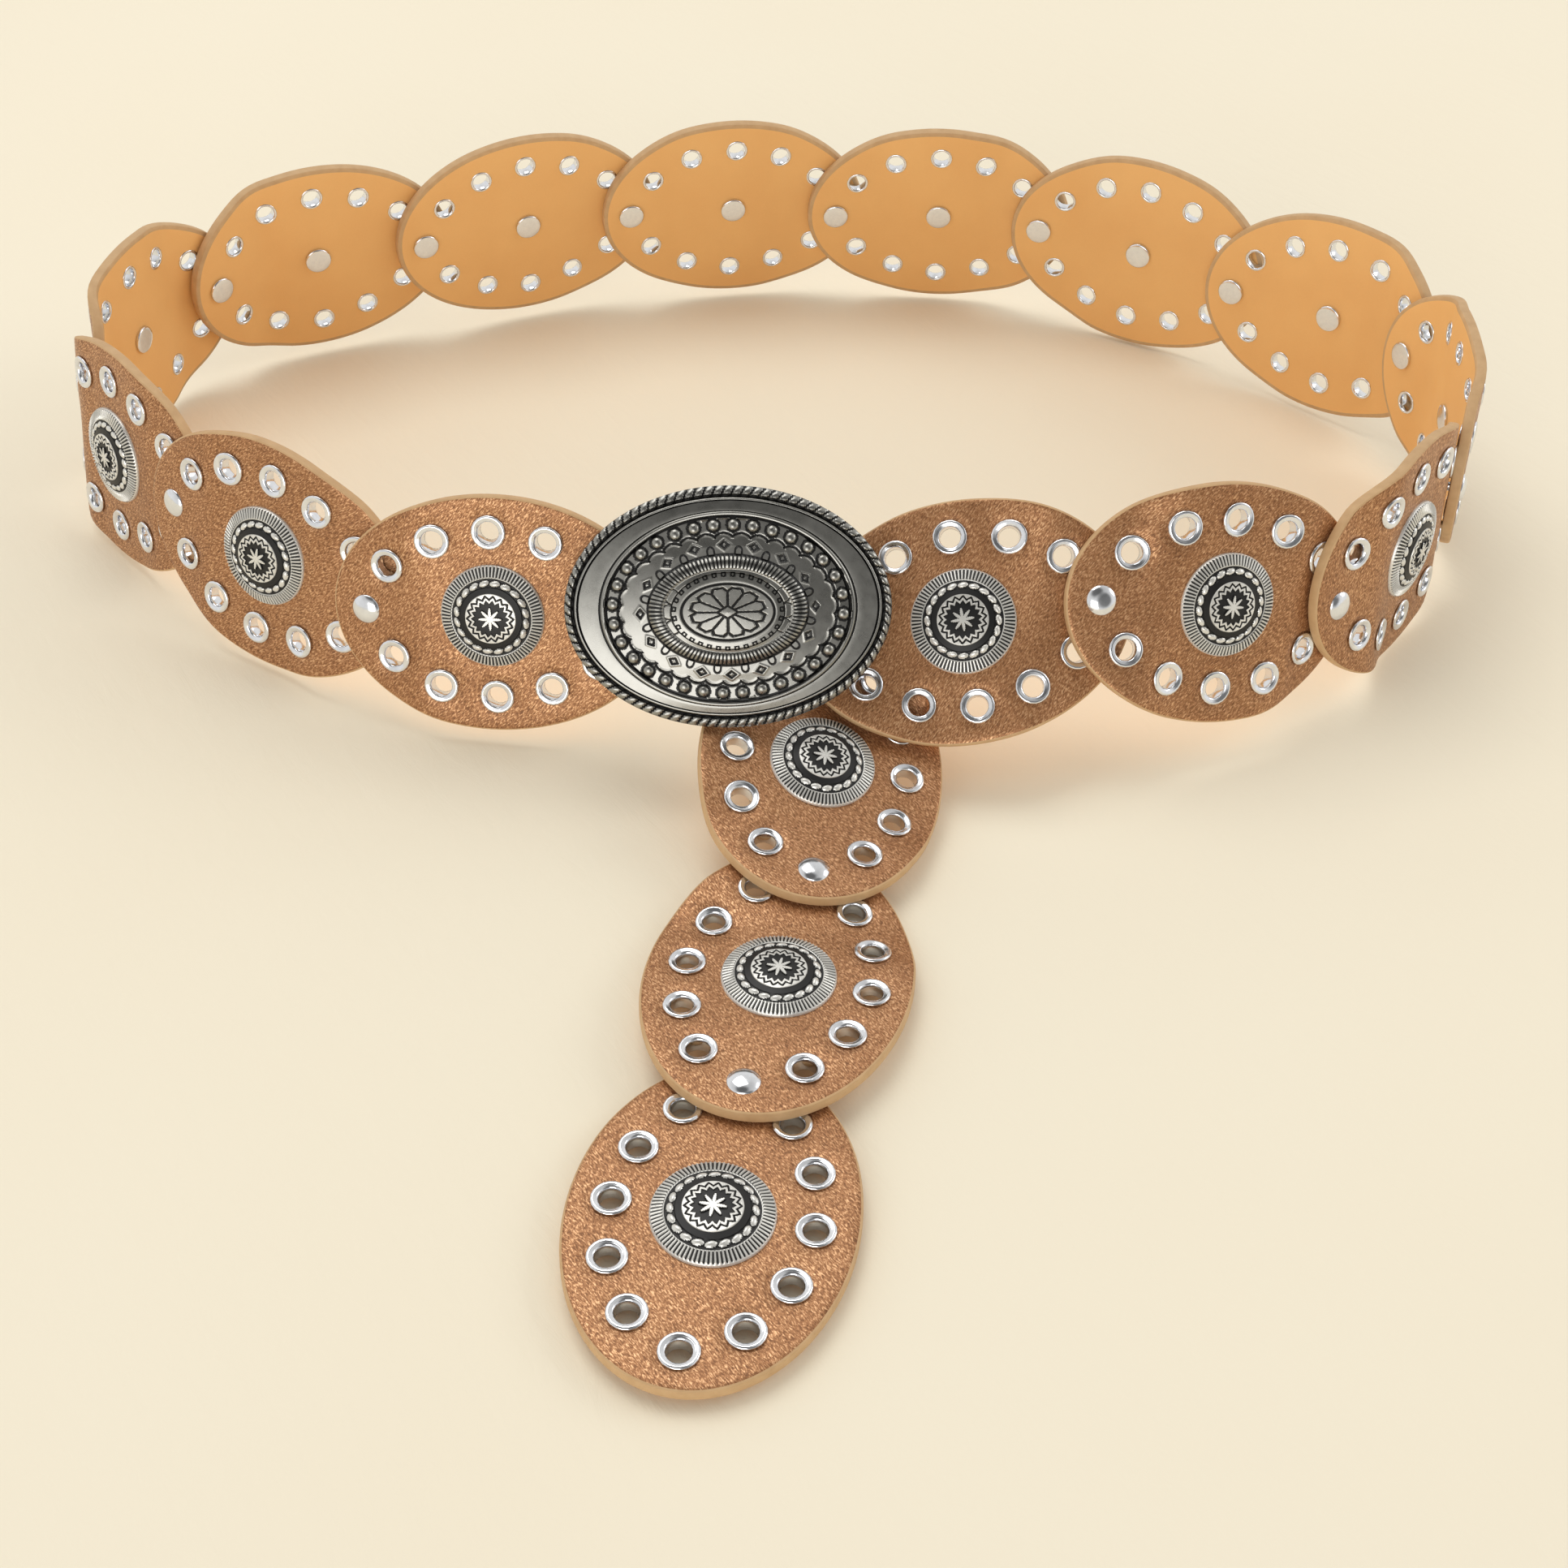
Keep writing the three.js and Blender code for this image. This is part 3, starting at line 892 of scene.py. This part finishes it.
print("height of the buckle, mm:", 2 * half_height_of(BUCKLE_HALF))

# %% Buckle: places along an oval
# The ornament is turned by this share of each oval's length, as it is on the casting
TWIST = 0.005


def oval_angles(half_length):
    """The angle at each of the even shares of an oval's length."""
    return np.append(even_angles(half_length, OVAL_STEPS), 2 * math.pi)


class Front:
    """Points of the buckle's front, each with the share of the way out and the angle of its own oval."""

    def __init__(self, out, angles):
        self.out = out
        self.angles = angles
        self.half = out * BUCKLE_HALF
        self.x = self.half * np.cos(angles)
        self.y = half_height_of(self.half) * np.sin(angles)

    def share_round(self, half_length):
        """How far round an oval each point is, from 0 to 1, by length."""
        return np.interp(self.angles, oval_angles(half_length), OVAL_SHARES)

    def from_marks(self, half_length, count, start=0):
        """How far each point is along and outwards from the nearest of the marks spaced along one oval."""
        half_height = half_height_of(half_length)
        first = start + TWIST * count
        nearest = np.round(self.share_round(half_length) * count - first) % count
        mark = np.interp((nearest + first) / count % 1, OVAL_SHARES, oval_angles(half_length))
        gap = np.stack([self.x - half_length * np.cos(mark), self.y - half_height * np.sin(mark)])
        outwards = np.stack([np.cos(mark) / half_length, np.sin(mark) / half_height])
        outwards = outwards / np.linalg.norm(outwards, axis=0)
        return outwards[0] * gap[1] - outwards[1] * gap[0], (gap * outwards).sum(axis=0)


# %% Buckle: the dome's slope and the rows of points, as shares of the half length
BUCKLE_SLOPE = {
    "out": [0, 0.28, 0.30, 0.385, 0.4, 0.445, 0.48, 0.49, 0.62, 0.735, 0.765, 0.84, 0.912, 0.93, 1.0],
    "height": [8.2, 7.75, 7.6, 6.9, 7.1, 6.95, 6.15, 5.55, 4.75, 4.0, 3.75, 3.4, 3.05, 2.7, 1.4],
}
MEDALLION_ROWS = np.linspace(0.002, 0.287, 74)
# Each band of the front, and how many rows of points its relief needs
BUCKLE_BANDS = {
    "low": [0.287, 0.309, 0.352, 0.4, 0.493, 0.6, 0.673, 0.744, 0.796, 0.911, 0.957],
    "high": [0.304, 0.347, 0.393, 0.489, 0.595, 0.668, 0.74, 0.79, 0.906, 0.953, 1.0],
    "rows": [3, 12, 9, 8, 19, 13, 12, 12, 4, 10, 8],
}
# The inner ornament sits a little below the plate's middle
ORNAMENT_DROP = {"out": [0, 0.28, 0.44, 0.54, 0.7, 0.77, 0.92], "drop": [1.1, 1.05, 0.7, 0.6, 0.45, 0.45, 0]}
buckle_rows = np.concatenate([np.linspace(*band_rows) for band_rows in zip(*BUCKLE_BANDS.values())])
print("buckle rows:", len(buckle_rows))

# %% [markdown]
# The medallion in the middle is a flower of twelve petals, each drawn as a dark outline round a plain
# leaf, with a small diamond at its heart. An outline is the band where a distance is close to nothing, so
# each shape is first written as a distance and then cut as a groove.

# %% Buckle: the flower in the medallion
# How high each part stands over the dome, in millimetres, with cuts below zero
HEIGHTS = {
    "strand": 0.2, "rope_gap": -0.3, "cut": -0.3, "step": 0.35, "ring": 0.5, "ball": 1.1, "channel": -0.3,
    "scallop": -0.2, "pit": -0.5, "pearl": 0.4, "frame": 0.1, "bud": 0.3, "reed": 0.3, "reed_gap": -0.4,
    "square": -0.2, "dot": 0.35, "scroll": -0.15, "medallion": -0.3,
}
FLOWER_HALF = {"length": 8.75, "height": 5.7}
FLOWER_PETALS = 12
HEART_HALF = {"length": 2.45, "height": 1.5}
# The petals part at this share of the flower, and their round tips are steep near each border
NOTCH = 0.82
TIP_ROUND = 0.8
TIP_STEEP = 1.8
FIELD_HALF = 10.5
GROOVE_REACH = 1.6


def groove(distance, half_width, middle=0):
    """1 close to where the distance is the middle, falling to 0 at 1.6 times the half width."""
    return np.clip(GROOVE_REACH - np.abs(distance - middle) / half_width, 0, 1)


def flower_grooves(x, y):
    """How deep the cuts round the petals and the heart are, from 0 to 1."""
    right, up = x / FLOWER_HALF["length"], y / FLOWER_HALF["height"]
    far = np.hypot(right, up)
    turns = np.arctan2(up, right) / (2 * math.pi) * FLOWER_PETALS
    from_border = 0.5 - np.abs(turns % 1 - 0.5)
    tip = NOTCH + (1 - NOTCH) * np.clip(from_border * 4, 0, 1) ** TIP_ROUND
    sides = groove(from_border / FLOWER_PETALS * 2 * math.pi * far, half_width=0.027) * (far < NOTCH)
    steep = np.where(from_border < 0.25, TIP_STEEP, 1.0)
    heart = np.abs(x) / HEART_HALF["length"] + np.abs(y) / HEART_HALF["height"]
    petals = np.maximum(sides, groove((far - tip) / steep, half_width=0.03)) * (heart > 1)
    return np.maximum(petals, groove(heart, half_width=0.14, middle=1))


def medallion_relief(front):
    """The flower and the line round its field."""
    border = groove(front.half, half_width=0.22, middle=10.95)
    cut = np.maximum(border, flower_grooves(front.x, front.y) * (front.half < FIELD_HALF))
    return HEIGHTS["medallion"] * cut, cut


# %% Buckle: the rope, the plain cuts and the raised rings
ROPE_STRANDS = 91
ROPE_MIDDLE = 0.979
STRAND_SLANT = 12.5
STRAND_HALF = 0.39
CUTS = {"out": [0.948, 0.918, 0.784, 0.742, 0.3445], "half_width": [0.0065, 0.004, 0.004, 0.005, 0.002]}


def rope_relief(front):
    """Strands laid slantwise on a round cord, with black gaps between them."""
    turns = front.share_round(ROPE_MIDDLE * BUCKLE_HALF) * ROPE_STRANDS
    strand = (turns + (front.out - ROPE_MIDDLE) * STRAND_SLANT) % 1
    rope = band(front.out, low=0.955, high=1.01)
    gap = np.abs(strand - 0.5) > STRAND_HALF
    cord = round_bar(front.out, middle=ROPE_MIDDLE, half_width=0.026)
    swell = HEIGHTS["strand"] * np.sin(strand * math.pi)
    return rope * (cord + swell + HEIGHTS["rope_gap"] * gap), rope * gap


def ring_relief(front):
    """The cuts that part the bands, and the two raised rings."""
    cuts = [groove(front.out, half_width, middle) for middle, half_width in zip(*CUTS.values())]
    step = HEIGHTS["step"] * band(front.out, low=0.924, high=0.942)
    ring = HEIGHTS["ring"] * round_bar(front.out, middle=0.763, half_width=0.016)
    return step + ring + HEIGHTS["cut"] * sum(cuts), np.max(cuts, axis=0)


# %% Buckle: beads and scallops
# Each row of marks: its oval, how many there are, and by what share of a step it starts late
MARKS = {
    "balls": {"half_length": 27.5, "count": 32, "start": 0.5},
    "scallops": {"half_length": 25.9, "count": 32},
    "diamonds": {"half_length": 20.8, "count": 16},
    "buds": {"half_length": 19.2, "count": 16, "start": 0.5},
    "dots": {"half_length": 12.8, "count": 31},
}
BALL_RADIUS = 1.42
BALL_SHADOW = {"low": 0.96, "high": 1.3}
CHANNEL_WIDTH = 3.5
SCALLOP_RADIUS = 2.7
CUSP = -1.2


def between(value, low, high):
    return (value > low) & (value < high)


def ball_relief(front):
    """Round beads in a channel, and the scalloped edge inside them with a cusp towards each bead."""
    from_ball = np.hypot(*front.from_marks(**MARKS["balls"])) / BALL_RADIUS
    along, outwards = front.from_marks(**MARKS["scallops"])
    from_arc = np.hypot(along, outwards + SCALLOP_RADIUS) - SCALLOP_RADIUS
    from_edge = np.where(outwards > CUSP, from_arc, -1)
    channel = (from_edge > 0) & (outwards < CHANNEL_WIDTH)
    line = groove(from_edge, half_width=0.2, middle=0.2)
    lip = soft_ridge(from_edge, height=0.15, width=0.4) * (from_edge < 0)
    ball = HEIGHTS["ball"] * round_bar(from_ball, middle=0, half_width=1)
    height = channel * (ball + HEIGHTS["channel"]) + lip + HEIGHTS["scallop"] * line
    shadow = channel * between(from_ball, **BALL_SHADOW)
    return height, np.maximum(shadow, line * (from_ball > BALL_SHADOW["low"]))


# %% Buckle: diamonds and buds round the reeded ring
DIAMOND_HALF = {"along": 1.43, "outwards": 1.1}
PIT_FLOOR = 0.5
PEARL_START = 0.6
BUD = {"radius": 0.82, "stem": 0.75, "narrow": 0.8, "raised": 0.85, "beyond": 19.15}


def diamond_relief(front):
    """A diamond pit with a raised pearl in it and a faint frame round it."""
    along, outwards = front.from_marks(**MARKS["diamonds"])
    diamond = np.abs(along) / DIAMOND_HALF["along"] + np.abs(outwards) / DIAMOND_HALF["outwards"]
    inwards = np.clip(1 - diamond, 0, 1)
    pit = HEIGHTS["pit"] * np.minimum(inwards, PIT_FLOOR)
    pearl = HEIGHTS["pearl"] * np.clip(inwards - PEARL_START, 0, 1)
    edge = HEIGHTS["frame"] * groove(diamond, half_width=0.2, middle=1.25)
    return pit + pearl + edge, between(diamond, low=0.42, high=1)


def bud_relief(front):
    """Round buds with short stems that grow out of the reeded ring between the diamonds."""
    along, outwards = front.from_marks(**MARKS["buds"])
    bud = np.hypot(along, np.maximum(outwards - BUD["stem"], 0) * BUD["narrow"]) / BUD["radius"]
    beyond = front.half > BUD["beyond"]
    return HEIGHTS["bud"] * (bud < BUD["raised"]) * beyond, groove(bud, half_width=0.22, middle=1) * beyond


# %% Buckle: the reeded ring, the dots and the scrolls inside it
BUCKLE_RIBS = 98
REED = {"oval": 17.4, "cut": 0.64, "black": 0.66}
DOT = {"half_length": 0.6, "half_height": 0.5, "radius": 0.3}
SCROLL_PLACES = {"across": [14.0, 13.1, 13.1], "up": [0, 3.6, -3.6]}
SCROLL_RADIUS = 1.7
SCROLL_SHADE = 0.7


def reed_relief(front):
    """A ring of short ribs across the band, with a black line outside it."""
    rib = np.abs((front.share_round(REED["oval"]) * BUCKLE_RIBS) % 1 - 0.5) * 2
    reeded = band(front.half, low=15.6, high=18.85, soft=0.1)
    border = groove(front.half, half_width=0.16, middle=19.05)
    height = reeded * (HEIGHTS["reed"] + HEIGHTS["reed_gap"] * (rib > REED["cut"]))
    return height, np.maximum(reeded * (rib > REED["black"]), border)


def dot_relief(front):
    """Small black squares with a raised dot in each."""
    along, outwards = front.from_marks(**MARKS["dots"])
    square = (np.abs(along) < DOT["half_length"]) & (np.abs(outwards) < DOT["half_height"])
    dot = np.hypot(along, outwards) < DOT["radius"]
    return HEIGHTS["square"] * square + HEIGHTS["dot"] * dot, square & ~dot


def scroll_relief(front):
    """Arcs of three rings at each end of the medallion, seen only in the band between two ovals."""
    line = np.ones_like(front.x)
    for across, up in zip(*SCROLL_PLACES.values()):
        line = np.minimum(line, np.abs(np.hypot(np.abs(front.x) - across, front.y - up) - SCROLL_RADIUS))
    line = groove(line, half_width=0.13) * band(front.half, low=13.6, high=15.3)
    return HEIGHTS["scroll"] * line, SCROLL_SHADE * line


# %% Build the buckle
BUCKLE_BACK = {
    "share": [1.0, 0.985, 0.93, 0.8, 0.6, 0.35, 0.002],
    "height": [0.25, 0.0, 0.0, 1.3, 2.9, 4.6, 5.4],
}
RELIEFS = [rope_relief, ring_relief, ball_relief, diamond_relief, bud_relief, reed_relief, dot_relief,
           scroll_relief, medallion_relief]


def buckle_front(rows, angles):
    """Points of the front on the given rows and angles, and how deep each lies in a recess."""
    front = Front(*(part.ravel() for part in np.meshgrid(rows, angles, indexing="ij")))
    slope = np.interp(front.out, BUCKLE_SLOPE["out"], BUCKLE_SLOPE["height"])
    height, recess = piled(slope, [relief(front) for relief in RELIEFS])
    drop = np.interp(front.out, ORNAMENT_DROP["out"], ORNAMENT_DROP["drop"])
    return np.column_stack([front.x, front.y - drop, height]), recess


def build_buckle():
    """The medallion has half as many columns, so its rows can be closer together."""
    angles = even_angles(BUCKLE_HALF, BUCKLE_COLUMNS)
    middle, middle_recess = buckle_front(MEDALLION_ROWS, angles[::2])
    top, top_recess = buckle_front(buckle_rows, angles)
    back = closing_loops(top[-BUCKLE_COLUMNS:], BUCKLE_BACK)
    faces = np.concatenate([
        grid_faces(len(MEDALLION_ROWS), BUCKLE_COLUMNS // 2),
        grid_faces(len(buckle_rows) + len(back), BUCKLE_COLUMNS, start=len(middle)),
    ])
    recess = np.concatenate([middle_recess, top_recess, np.zeros(len(back) * BUCKLE_COLUMNS)])
    return np.concatenate([middle, top, *back]), faces, recess


buckle_points, buckle_faces, buckle_recess = build_buckle()
buckle_turn = standing(**BUCKLE_PLACE)
buckle_centre = discs[0].carry([REACH, 0, FRONT])[0] - buckle_turn @ np.array(STUD_ON_BUCKLE)
carried = buckle_centre + buckle_points @ buckle_turn.T
buckle = make_piece("buckle_cast", carried, buckle_faces, [buckle_silver_painted_shade], SHARP["cast"],
                    recess=buckle_recess)
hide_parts("buckle")
print("buckle:", len(buckle_points), "points")

# %% [markdown]
# The post behind the buckle and its hook are plain pegs that are hidden in use. Their solids are right
# as they are, so they stay, and only take the nickel finish.

# %% Finish of the pegs
for node in ("buckle_stud", "buckle_hook"):
    for material_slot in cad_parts[node].material_slots:
        material_slot.material = nickel

# %% [markdown]
# The belt lies on a pale plastered board. A broad plain sheet with a faint trowelled texture takes the
# soft shadows that tie the belt to it. The board isn't part of the object.

# %% Floor
TROWEL_SIZE = (0.5, 1.6, 1)
TROWEL_TURN = 35
FLOOR_HALF = 2.5
FLOOR_CORNERS = [(x * FLOOR_HALF, y * FLOOR_HALF, 0) for x, y in ((-1, -1), (1, -1), (1, 1), (-1, 1))]


def cream_plaster():
    finish = Finish("cream_plaster")
    where = finish.object_place()
    sweeps = finish.stretched(where, TROWEL_SIZE, turn=TROWEL_TURN)
    strokes = finish.noise(sweeps, scale=95, detail=4, roughness=0.6, distortion=0.5)
    broad = finish.noise(where, scale=5, detail=2)
    cream = finish.mix(broad, colour(248, 237, 213), colour(251, 243, 222))
    return finish.surface(
        Base_Color=cream,
        Roughness=0.85,
        Normal=finish.bump(strokes, distance=0.0006, strength=0.35),
    )


floor_mesh = bpy.data.meshes.new("board")
floor_mesh.from_pydata(FLOOR_CORNERS, [], [(0, 1, 2, 3)])
floor_mesh.materials.append(cream_plaster())
floor = bpy.data.objects.new("board", floor_mesh)
bpy.context.scene.collection.objects.link(floor)

# %% [markdown]
# A product photographer would hang one big soft light over the table, a little behind and to the left,
# set a broad one low in front and a weak one on the right, and let a pale room fill the shadows.
# Polished metal shows what is round it, so the room has dark screens overhead and at the front
# right: they give the buckle its dark upper band.

# %% Lights, in metres and watts
LIGHTS = {
    "overhead": {"place": (-0.3, 0.5, 1.3), "aim": (0, 0.02, 0), "size": 0.9,
                 "watts": 6.3, "tint": (1, 0.985, 0.96)},
    "front": {"place": (-0.35, -1.75, 0.42), "aim": (0, 0, 0.03), "size": 1.2,
              "watts": 11, "tint": (1, 0.98, 0.95)},
    "right": {"place": (1.3, 0.3, 0.7), "aim": (0, 0, 0.02), "size": 0.6,
              "watts": 3, "tint": (1, 1, 1)},
}


def soft_light(name, place, aim, size, watts, tint):
    """A square lamp that faces the place it is aimed at."""
    data = bpy.data.lights.new(name, "AREA")
    data.shape = "SQUARE"
    data.size = size
    data.energy = watts
    data.color = tint
    light = bpy.data.objects.new(name, data)
    bpy.context.scene.collection.objects.link(light)
    light.location = place
    light.rotation_euler = (Vector(aim) - Vector(place)).to_track_quat("-Z", "Y").to_euler()


for name, light in LIGHTS.items():
    soft_light(name, **light)
print("lights:", len(LIGHTS))

# %% Room: pale behind, dimmer in front, with dark screens overhead and at the front right
SIDES = {
    "ceiling": {"towards": (0, 0, 1), "from": 0.5, "to": 0.9, "dims": 0.3},
    "front": {"towards": (0, -0.8, 0.6), "from": 0.3, "to": 0.8, "dims": 0.15},
    "screen_above": {"towards": (-0.1, -0.3, 0.95), "from": 0.86, "to": 0.95, "dims": 0.75},
    "screen_right": {"towards": (0.5, -0.7, 0.5), "from": 0.86, "to": 0.96, "dims": 0.75},
}
ROOM_DARK = (0, 0, 0, 1)
ROOM_PALE = (1, 0.985, 0.955, 1)
ROOM_STRENGTH = 0.9

world = bpy.data.worlds.new("room")
world.use_nodes = True
room = Finish("room", world)
outward = room.node("ShaderNodeTexCoord")
bright = 1
for side in SIDES.values():
    towards = Vector(side["towards"]).normalized()
    sockets = {0: outward, 1: towards}
    facing = room.node("ShaderNodeVectorMath", {"operation": "DOT_PRODUCT"}, sockets, output=1)
    bright = bright * (1 - room.rise(facing, side["from"], side["to"]) * side["dims"])
light = room.mix(bright, ROOM_DARK, ROOM_PALE)
background = room.node("ShaderNodeBackground", None, {"Color": light, "Strength": ROOM_STRENGTH})
room.node("ShaderNodeOutputWorld", None, {"Surface": background})
bpy.context.scene.world = world
bpy.context.scene.view_settings.view_transform = "Standard"

# %% Write the sizes and finish
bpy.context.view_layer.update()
pieces = [thing for thing in bpy.data.objects if thing.type == "MESH" and thing.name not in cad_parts]
counts = {piece.name: sum(len(face.vertices) - 2 for face in piece.data.polygons) for piece in pieces}
print("triangles added:", sum(counts.values()), "most in one piece:", max(counts.values()))
